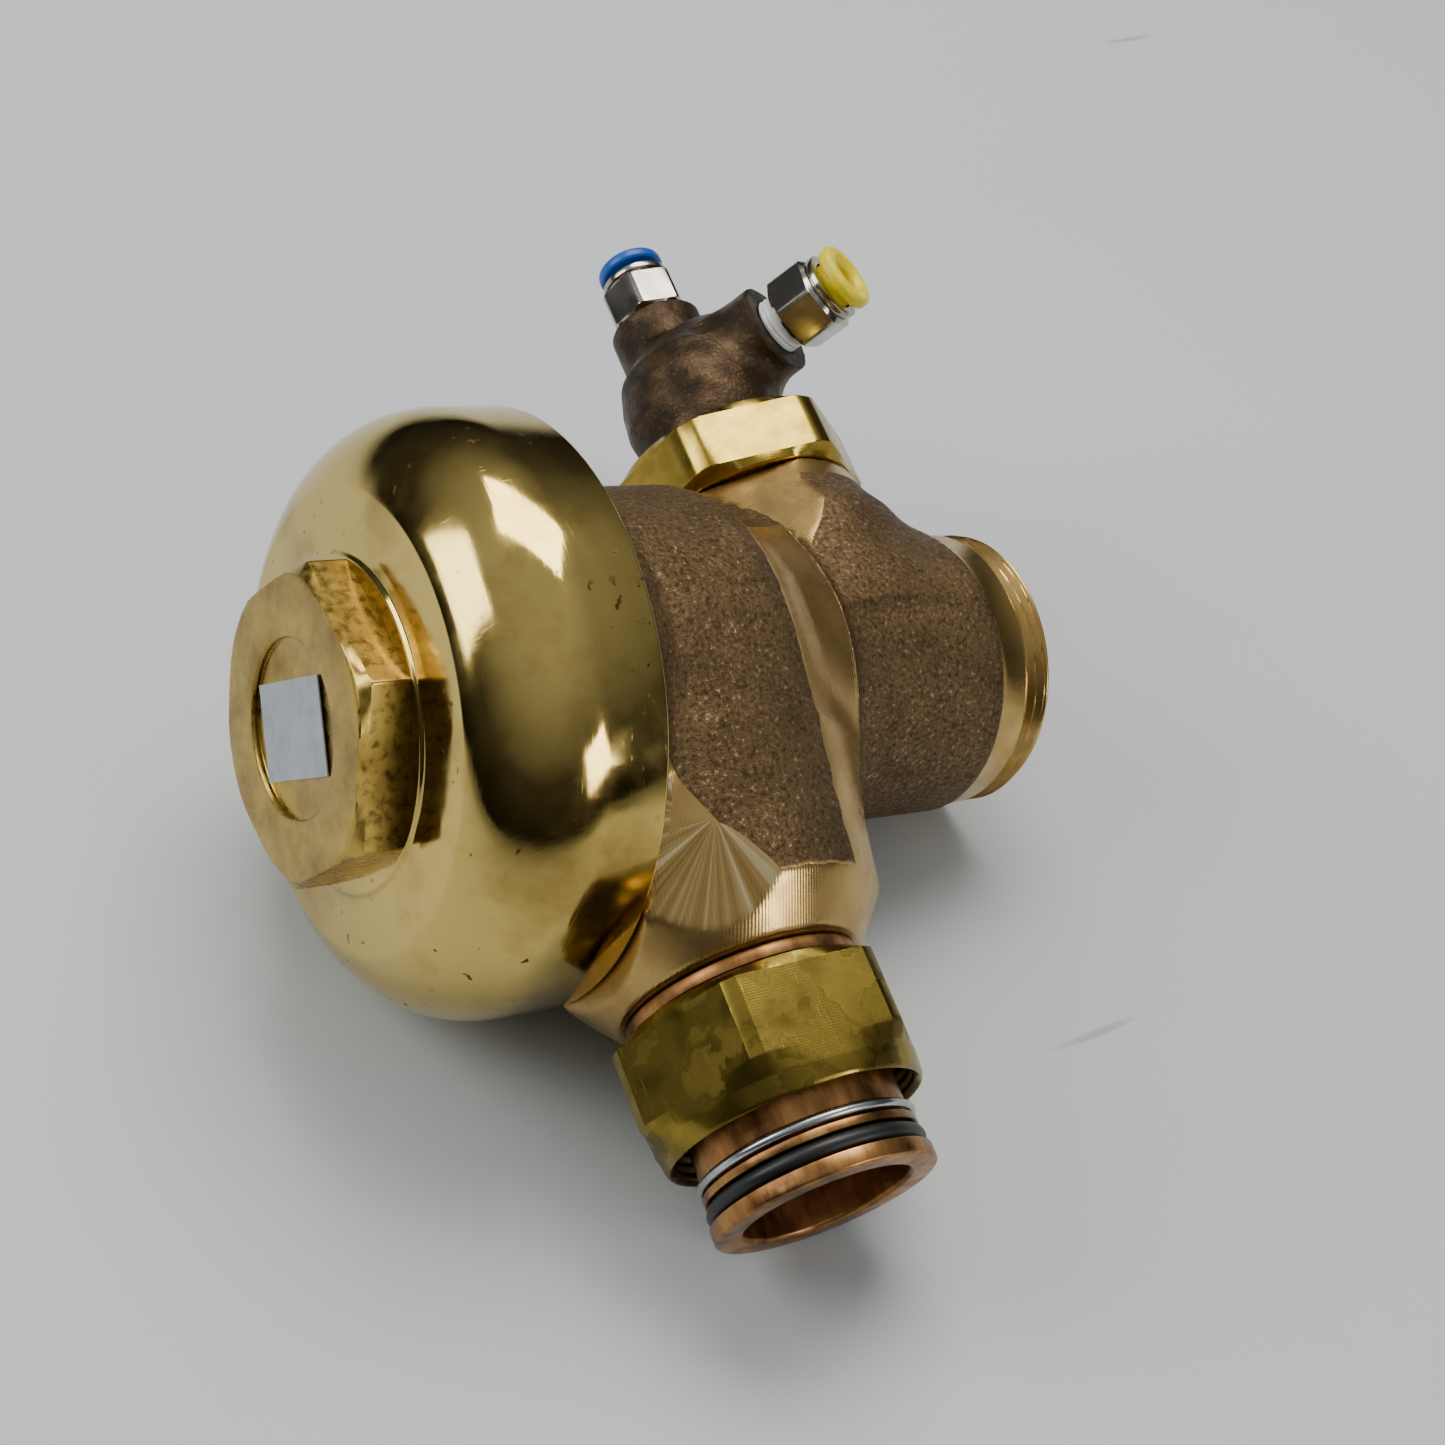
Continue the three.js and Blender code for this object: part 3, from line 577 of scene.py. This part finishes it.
finishes = {
    "cast_bronze": castBronze(),
    "dark_cast_bronze": darkCastBronze(),
    "polished_brass": polishedBrass(),
    "brushed_brass": hexagonBrass(),
    "turned_brass": machinedMetal("turned_brass", "#cfae6c", "#b08a4c", 0.5, (0.2, 0.34), "X"),
    "nut_brass": machinedMetal("nut_brass", "#bfa14a", "#93782e", 0.45, (0.16, 0.3), "Y"),
    "stained_brass": machinedMetal("stained_brass", "#a0883c", "#6b5a26", 0.45, (0.16, 0.32), "Y",
                                   "#33290f", 7.0),
    "red_brass": copperBrown(),
    "stainless_steel": machinedMetal("stainless_steel", "#c9cac9", "#a2a4a5", 0.3, (0.2, 0.34), "Y"),
    "nickel_plate": machinedMetal("nickel_plate", "#c4beb4", "#9d968b", 0.3, (0.12, 0.24), "Y"),
    "black_rubber": plainPlastic("nitrile_rubber", "#141414", 0.38, 0.5, 0.01, 0, 1.52),
    "black_plastic": plainPlastic("black_acetal", "#1d1e20", 0.42),
    "blue_plastic": plainPlastic("blue_acetal", "#0b55b4", 0.3),
    "green_plastic": plainPlastic("green_acetal", "#2f8a55", 0.35),
    "yellow_plastic": plainPlastic("yellow_acetal", "#f4dc00", 0.32),
    "ptfe_tape": plainPlastic("ptfe_tape", "#eeeeea", 0.45, 0.35, 0.03, 0, 1.38),
    "label_vinyl": plainPlastic("label_vinyl", "#a9acb0", 0.3, 0.8, 0.004, 0.3),
}
print("materials made:", len(finishes))

# every carried-over part of the model takes the finish that the record names for it
slotOfNode = {row["node"]: row["material_slot"] for row in frame["record"]["subparts"]}
for nodeName, node in frame["nodes"].items():
    node.data.materials.clear()
    node.data.materials.append(finishes[slotOfNode[nodeName]])

casting = {
    "step": 0.85, "fillet": 5.0, "rim": -33.0, "shoulder": -23.4, "thread": 45.9, "bore": 19.6,
    "portX": 43.0, "portRadius": 20.5, "portFace": 35.0, "portEnd": 41.6, "portThread": 18.0,
    "portBore": 12.2,
    "inletBore": 18.0, "end": 65.4, "seam": 0.35,
    "outside": [(-33, 45.9), (-23.4, 45.9), (-21.5, 44.6), (-19.4, 42.3), (-15.5, 38.2), (-12, 36.9),
                (9, 36.8), (13, 35.8), (14.5, 34.2), (16.5, 32.5), (18.5, 31.3), (21, 30.3), (29.5, 28.8),
                (30.5, 27.4), (32, 26.5), (64.6, 26.4), (65.4, 25.7)],
    "inletBoss": [(-1, 33.8), (24, 33.8), (38, 30), (49, 28), (57, 21.7)],
    "portWeb": [(2, 26.2), (12, 26.5), (18, 26.2), (24, 25.2), (29, 22.6), (34, 20.4)],
    "hollow": [(-34, 40.5), (-25, 40.5), (-16, 34), (-12, 32.5), (8, 32.5), (14.5, 28.5), (19, 25),
               (19.1, 22.5), (27, 22.5)],
}


def bodyField(x, y, z):
    # a bowl, neck and two side bosses run together, less the hollow, the bores and the milled flats
    c = casting
    around = np.hypot(y, z)
    sideInlet = np.hypot(x, z)
    sidePort = np.hypot(x - c["portX"], z)
    field = alongField(x, around, c["outside"], c["rim"], c["end"])
    inlet = alongField(-y, sideInlet, c["inletBoss"])
    port = alongField(y, sidePort, [(0, c["portRadius"]), (c["portFace"], c["portRadius"])])
    web = np.maximum(alongField(y, sidePort, c["portWeb"]), 20 - x)
    field = smoothUnion(field, inlet, c["fillet"])
    field = smoothUnion(field, smoothUnion(port, web, 3), c["fillet"])
    spigot = alongField(y, sidePort, [(c["portFace"] - 2, c["portThread"]), (c["portEnd"], c["portThread"])])
    field = np.minimum(field, spigot)
    seam = c["seam"] * np.exp(-(y / 0.75) ** 2)
    onSkin = (x < 12) | ((x > 30) & (x < 64))
    field = field - np.where(onSkin & (field > -3), seam, 0)
    cover = np.maximum(np.maximum(x - c["shoulder"], c["thread"] - around), -60 - x)
    field = np.maximum(field, -cover)
    hollow = alongField(x, around, c["hollow"])
    mainBore = np.maximum(around - c["bore"], 26 - x)
    inletBore = np.maximum(np.maximum(sideInlet - np.where(y > -42, 16.0, c["inletBore"]), y + 24.5), -58 - y)
    portBore = np.maximum(np.maximum(sidePort - c["portBore"], 10 - y), y - 60)
    way, limit = inletMill["way"], portMill["limit"]
    inletFlat = np.maximum(inletMill["away"] - (way[0] * x + way[1] * y + way[2] * np.abs(z)), y + 30)
    way = portMill["way"]
    portFlat = np.maximum(portMill["away"] - (way[0] * x + way[1] * y + way[2] * np.abs(z)),
                          np.maximum(portMill["limitAway"] - limit[0] * x - limit[1] * y, y - 34.9))
    for tool in (hollow, mainBore, inletBore, portBore, inletFlat, portFlat):
        field = np.maximum(field, -tool)
    return field


def makeCasting():
    low, high = (-35.0, -59.0, -48.0), (75.0, 44.0, 48.0)
    x, y, z = fieldGrid(low, high, casting["step"])
    mesh = fieldMesh("body_casting", bodyField(x, y, z), low, casting["step"])
    makePiece("body_casting", mesh, finishes["cast_bronze"], "valve", ["valve_body"], 40)


makeCasting()
print("casting made")

outletThread = {"start": 64.9, "ring": 25.5, "ringEnd": 71.2, "root": 24.3, "depth": 0.52, "pitch": 2.1,
                "end": 77.6, "bore": 19.6}


def makeOutletThread():
    # a turned ring and a helical ridge: radius = root + 2 depth times the triangle wave
    t = outletThread
    rows = [(t["start"], t["bore"]), (t["start"], 25.9), (65.5, 25.75), (66.3, t["ring"]), (70.7, t["ring"]),
            (t["ringEnd"], 24.9), (71.5, t["root"])]
    rows += [(x, t["root"], 0, t["depth"] * max(0, min(1, (t["end"] - 0.25 - x) / 0.7, (x - 71.6) / 0.6)))
             for x in np.arange(71.65, t["end"] - 0.3, 0.13)]
    rows += [(t["end"] - 0.25, t["root"] - 0.1), (t["end"], t["root"] - 0.5), (t["end"], t["bore"] + 0.5),
             (t["end"] - 0.5, t["bore"])]
    mesh = turnedMesh("outlet_thread", rows, (0, 0, 0), (1, 0, 0), (0, 1, 0), pitch=t["pitch"])
    makePiece("outlet_thread", mesh, finishes["turned_brass"], "valve", ["outlet_end"])


makeOutletThread()

dome = {"rim": -23.9, "radius": 50.8, "skirt": 11.0, "corner": 19.0, "face": -53.6, "front": -62.8,
        "flats": 47.4, "turn": 47.0, "recess": 14.7, "recessFloor": -61.6}


def makeDome():
    d = dome
    corner = curveRow(d["rim"] - d["skirt"], d["radius"] - d["corner"], d["corner"], 90, 160, 26)
    outside = [(d["face"] - 0.75, 27.5), (d["face"] - 0.2, 28.2), (d["face"] + 0.1, 30)] + corner[::-1]
    inside = [(d["rim"], d["radius"] - 0.4), (d["rim"], 46.4), (-33.4, 46.3), (-33.4, 44.4),
              (-39.3, 44.4), (-39.3, 41), (-46, 38), (-50.8, 30), (-50.8, 0)]
    rows = [(d["face"] - 0.75, 0)] + outside + [(d["rim"] - 0.4, d["radius"])] + inside
    mesh = turnedMesh("cover_dome", rounded(full(rows), 0.3, 3), (0, 0, 0), (1, 0, 0), (0, 1, 0), sides=256)
    makePiece("cover_dome", mesh, finishes["polished_brass"], "valve",
              ["outside_cover"], 50)


def makeHexagon():
    # the wrench hexagon with a turned chamfer that cuts its corners, and a round recess for the label
    d = dome
    rows = [(d["face"] - 0.5, 0), (d["face"] - 0.5, 27.3, 1), (d["front"] + 1.9, 27.3, 1),
            (d["front"] + 0.25, 24.9, 1), (d["front"], 24.2, 1), (d["front"], d["recess"] + 0.6, 0),
            (d["front"] + 0.35, d["recess"], 0), (d["recessFloor"], d["recess"], 0), (d["recessFloor"], 0, 0)]
    mesh = turnedMesh("cover_hexagon", rounded(full(rows), 0.25, 3), (0, 0, 0), (1, 0, 0), (0, 1, 0),
                      flats=d["flats"], turn=d["turn"])
    makePiece("cover_hexagon", mesh, finishes["brushed_brass"], "valve", [], 25)


makeDome()
makeHexagon()
print("cover made")

stopNut = {"start": 60.0, "end": 81.6, "flats": 45.0, "corner": 25.3, "neck": 18.25, "bore": 20.9,
           "turn": 8.8, "drop": 0.3, "shift": -0.09}
portNut = {"start": 35.4, "end": 49.2, "flats": 43.0, "corner": 23.9, "neck": 15.9, "bore": 18.3,
           "turn": 41.46}


def makeStopNut():
    n = stopNut
    bite = 0.55
    rows = [(n["start"], n["neck"]), (n["start"], n["corner"] - 3.2, 1), (n["start"] + 2.0, n["corner"], 1),
            (n["end"] - 6.6, n["corner"], 1), (n["end"] - 3.4, n["corner"] - 2.1, 1),
            (n["end"] - 0.5, n["corner"] - 3.1, 1), (n["end"], n["corner"] - 3.4, 1),
            (n["end"], n["bore"] + 0.7), (n["end"] - 0.9, n["bore"])]
    threads = [(a, n["bore"] - 0.35, 0, bite / 2) for a in np.arange(n["end"] - 1.6, n["start"] + 5, -0.2)]
    rows = list(rounded(full(rows), 0.22, 2)) + full(threads) + full([(n["start"] + 4.3, n["bore"]),
                                                                        (n["start"] + 4.3, n["neck"])])
    mesh = turnedMesh("stop_nut_shell", rows, (n["shift"], -n["drop"], 0), (0, -1, 0), (1, 0, 0),
                      flats=n["flats"], turn=n["turn"], pitch=1.8)
    makePiece("stop_nut_shell", mesh, finishes["stained_brass"], "stop_nut",
              ["stop_coupling_nut"], 20)


def makePortNut():
    n = portNut
    rows = [(n["start"], n["bore"]), (n["start"], n["corner"] - 2.9, 1), (n["start"] + 1.7, n["corner"], 1),
            (n["end"] - 1.7, n["corner"], 1), (n["end"], n["corner"] - 2.9, 1),
            (n["end"], n["neck"] + 0.5), (n["end"] - 0.5, n["neck"]), (n["end"] - 2.3, n["neck"]),
            (n["end"] - 2.3, n["bore"])]
    mesh = turnedMesh("port_nut_shell", rounded(full(rows), 0.25, 2), (casting["portX"], 0, 0), (0, 1, 0),
                      (1, 0, 0), flats=n["flats"], turn=n["turn"])
    makePiece("port_nut_shell", mesh, finishes["nut_brass"], "valve",
              ["actuator_coupling_nut"], 20)


makeStopNut()
makePortNut()

tail = {"start": 43.0, "radius": 17.7, "bore": 14.2, "end": 95.2, "lip": 19.05,
        "flange": (57.35, 59.5, 20.3), "snapGroove": (85.1, 87.4, 17.0), "land": 18.4,
        "sealGroove": (88.8, 92.3, 15.6)}  # from, to and radius
snap = {"at": 86.15, "radius": 18.1, "wire": 0.78, "mouth": 118.6, "gap": 22.0, "hook": 1.6}
sealRing = {"at": 90.55, "radius": 17.35, "section": 1.45}


def makeTail():
    t = tail
    (low, high, rim), (snapLow, snapHigh, snapRadius) = t["flange"], t["snapGroove"]
    sealLow, sealHigh, sealRadius = t["sealGroove"]
    rows = [(t["start"], t["bore"]), (t["start"], t["radius"]), (low, t["radius"]), (low, rim), (high, rim),
            (high, t["radius"]), (snapLow, t["radius"]), (snapLow, snapRadius), (snapHigh, snapRadius),
            (snapHigh, t["land"]), (sealLow, t["land"]), (sealLow, sealRadius), (sealHigh, sealRadius),
            (sealHigh, t["lip"]), (t["end"] - 0.4, t["lip"]), (t["end"], t["lip"] - 0.4),
            (t["end"], t["bore"] + 0.5), (t["end"] - 0.6, t["bore"])]
    mesh = turnedMesh("tail_tube", rounded(full(rows), 0.2, 2), (0, 0, 0), (0, -1, 0), (1, 0, 0))
    makePiece("tail_tube", mesh, finishes["red_brass"], "valve", ["inlet_tail"])


def sweptMesh(name, path, section, up):
    # a section carried along a path, kept square to it by the up direction, capped at both ends
    tangent = np.gradient(path, axis=0)
    tangent /= np.linalg.norm(tangent, axis=1)[:, None]
    side = np.cross(tangent, up)
    side /= np.linalg.norm(side, axis=1)[:, None]
    other = np.cross(side, tangent)
    points = path[:, None] + section[None, :, 0:1] * side[:, None] + section[None, :, 1:2] * other[:, None]
    rows, columns = points.shape[:2]
    index = np.arange(rows * columns).reshape(rows, columns)
    step = np.roll(index, -1, 1)
    quads = np.stack([index[:-1], index[1:], step[1:], step[:-1]], -1).reshape(-1, 4)
    tips = np.array([rows * columns, rows * columns + 1])
    firstFan = np.stack([np.full(columns, tips[0]), index[0], step[0]], -1)
    lastFan = np.stack([index[-1], np.full(columns, tips[1]), step[-1]], -1)
    points = np.concatenate([points.reshape(-1, 3), path[[0, -1]]])
    return layMesh(name, points, [quads, np.concatenate([firstFan, lastFan])])


def makeSnapRing():
    # round wire on an arc, its two ends curled outwards at the mouth
    s = snap
    turn = np.radians(np.linspace(s["mouth"] + s["gap"] / 2, s["mouth"] + 360 - s["gap"] / 2, 200))
    ends = np.minimum(np.arange(200), np.arange(199, -1, -1)) / 12
    radius = s["radius"] + s["hook"] * np.clip(1 - ends, 0, 1) ** 2
    path = np.stack([radius * np.sin(turn), np.full(200, -s["at"]), radius * np.cos(turn)], -1)
    ring = np.radians(np.linspace(0, 360, 16, endpoint=False))
    section = s["wire"] * np.stack([np.cos(ring), np.sin(ring)], -1)
    mesh = sweptMesh("tail_snap_wire", path, section, np.array([0, 1.0, 0]))
    makePiece("tail_snap_wire", mesh, finishes["stainless_steel"], "valve",
              ["tail_snap_ring"])


def makeSealRing():
    s = sealRing
    rows = curveRow(s["at"], s["radius"], s["section"], 0, 345, 23)
    mesh = turnedMesh("tail_seal", rows, (0, 0, 0), (0, -1, 0), (1, 0, 0))
    makePiece("tail_seal", mesh, finishes["black_rubber"], "valve", ["tail_o_ring"])


makeTail()
makeSnapRing()
makeSealRing()
print("tail and nuts made")

head = {"step": 0.42, "start": 45.0, "flange": 17.7, "flangeEnd": 46.6, "bore": 10.6, "branch": 69.8,
        "lean": 5.0, "blueOffset": -8.0, "blueFace": 89.0, "yellowFace": 17.5, "branchTurn": 64.0,
        "fillet": 4.0,
        "trunk": [(45, 13.2), (51, 13.2), (61, 15), (66, 14.4), (71, 13), (74, 10)],
        "hub": [(56, 10), (62, 12), (72, 12), (76, 10.4), (79.3, 7)],
        "blue": [(50, 7), (60, 9.3), (89, 9.3)], "yellow": [(0, 9.3), (17.5, 9.3)]}
branch = math.radians(head["branchTurn"])
yellowWay = np.array([math.cos(branch), 0, math.sin(branch)])
bluePlace = np.array([casting["portX"] + head["lean"], 0, head["blueOffset"]])
yellowPlace = np.array([casting["portX"] + head["lean"], head["branch"], 0])


def headField(x, y, z):
    # a trunk, a hub and two ports run together, less the cylinder, the passages and the port threads
    h = head
    c = casting
    trunkAway = np.hypot(x - c["portX"], z)
    hubAway = np.hypot(x - c["portX"] - h["lean"], z)
    blueAway = np.hypot(x - bluePlace[0], z - bluePlace[2])
    along = (x - yellowPlace[0]) * yellowWay[0] + z * yellowWay[2]
    across = (x - yellowPlace[0]) * yellowWay[2] - z * yellowWay[0]
    yellowAway = np.hypot(across, y - yellowPlace[1])
    field = smoothUnion(alongField(y, trunkAway, h["trunk"]), alongField(y, hubAway, h["hub"]), 3)
    field = smoothUnion(field, alongField(y, blueAway, h["blue"]), h["fillet"])
    field = smoothUnion(field, alongField(along, yellowAway, h["yellow"]), h["fillet"])
    flange = alongField(y, trunkAway, [(h["start"], h["flange"]), (h["flangeEnd"], h["flange"])])
    field = np.minimum(field, flange)
    cylinder = np.maximum(trunkAway - h["bore"], np.maximum(40 - y, y - 71))
    bluePassage = np.maximum(blueAway - np.where(y > h["blueFace"] - 5.6, 5.2, 2.0), 70 - y)
    yellowPassage = np.maximum(yellowAway - np.where(along > h["yellowFace"] - 5.6, 5.2, 2.0), 4 - along)
    for tool in (cylinder, bluePassage, yellowPassage):
        field = np.maximum(field, -tool)
    return np.maximum(field, h["start"] - y)


def makeHead():
    low, high = (22.0, 43.0, -22.0), (72.0, 92.0, 27.0)
    x, y, z = fieldGrid(low, high, head["step"])
    mesh = fieldMesh("actuator_casting", headField(x, y, z), low, head["step"])
    makePiece("actuator_casting", mesh, finishes["dark_cast_bronze"], "valve",
              ["actuator_housing"], 45)


makeHead()
print("actuator made")

fitting = {"hex": 9.2, "flats": 14.2, "corner": 7.95, "shoulder": 1.6, "rim": 6.85, "gap": 1.5, "tube": 3.45,
           "turn": 47.19, "thread": 4.9, "depth": 5.0, "sleeve": 4.6, "button": 6.7}
ports = {
    "blue": {"start": bluePlace + np.array([0, head["blueFace"], 0]), "way": (0, 1, 0), "side": (-1, 0, 0),
             "neck": 1.2, "finish": "blue_plastic", "body": "blue_collar"},
    "yellow": {"start": yellowPlace + yellowWay * head["yellowFace"], "way": yellowWay, "side": (0, 1, 0),
               "neck": 3.4, "finish": "yellow_plastic", "body": "yellow_collar"},
}


def makeFitting(name, p):
    f = fitting
    neck = p["neck"]
    hexEnd = neck + f["hex"]
    mouth = hexEnd + f["shoulder"]
    rows = [(-f["depth"], 2), (-f["depth"], f["thread"] - 0.5), (-f["depth"] + 0.9, f["thread"]),
            (neck, f["thread"]), (neck, 6.6, 1), (neck + 0.9, f["corner"], 1), (hexEnd - 0.9, f["corner"], 1),
            (hexEnd, 6.7, 1), (hexEnd, 6.2), (hexEnd + 0.35, 6.2), (hexEnd + 0.45, f["rim"]),
            (mouth, f["rim"]), (mouth, 5), (neck + 3, 5),
            (neck + 3, f["tube"]), (neck + 1, f["tube"]), (neck + 1, 2)]
    mesh = turnedMesh(name + "_fitting_shell", rounded(full(rows), 0.14, 2), p["start"], p["way"], p["side"],
                      flats=f["flats"], turn=f["turn"])
    makePiece(name + "_fitting_shell", mesh, finishes["nickel_plate"], "valve",
              [name + "_fitting_body"], 20)
    flange = mouth + f["gap"]
    rows = [(neck + 8, f["tube"]), (neck + 8, 4.3), (neck + 8.6, f["sleeve"]), (flange, f["sleeve"]),
            (flange, 6.3), (flange + 0.5, f["button"]), (flange + 1.9, f["button"]), (flange + 2.6, 6.0),
            (flange + 2.6, f["sleeve"]), (flange + 1.4, f["tube"])]
    mesh = turnedMesh(name + "_collar_shell", rounded(full(rows), 0.45, 4), p["start"], p["way"], p["side"],
                      sides=96)
    makePiece(name + "_collar_shell", mesh, finishes[p["finish"]], p["body"],
              [name + "_release_collar"], 50)
    makeTape(name, p, neck)


def makeTape(name, p, neck):
    # wound tape: radius = base plus a low wave per turn of the wrap and a slow unevenness round it
    along = np.linspace(0.15, neck - 0.15, 24)
    outer = [(a, 5.32 + 0.2 * abs(math.sin(a * 3.1)), 0, 0.08) for a in along]
    rows = [(0.15, 5.1)] + outer + [(neck - 0.15, 5.1)]
    mesh = turnedMesh(name + "_tape_wrap", rows, p["start"], p["way"], p["side"], sides=96, pitch=0.9)
    makePiece(name + "_tape_wrap", mesh, finishes["ptfe_tape"], "valve",
              [name + "_thread_tape"], 50)


for portName, portFacts in ports.items():
    makeFitting(portName, portFacts)
print("fittings made")

# bring the scene's transforms up to date
bpy.context.view_layer.update()
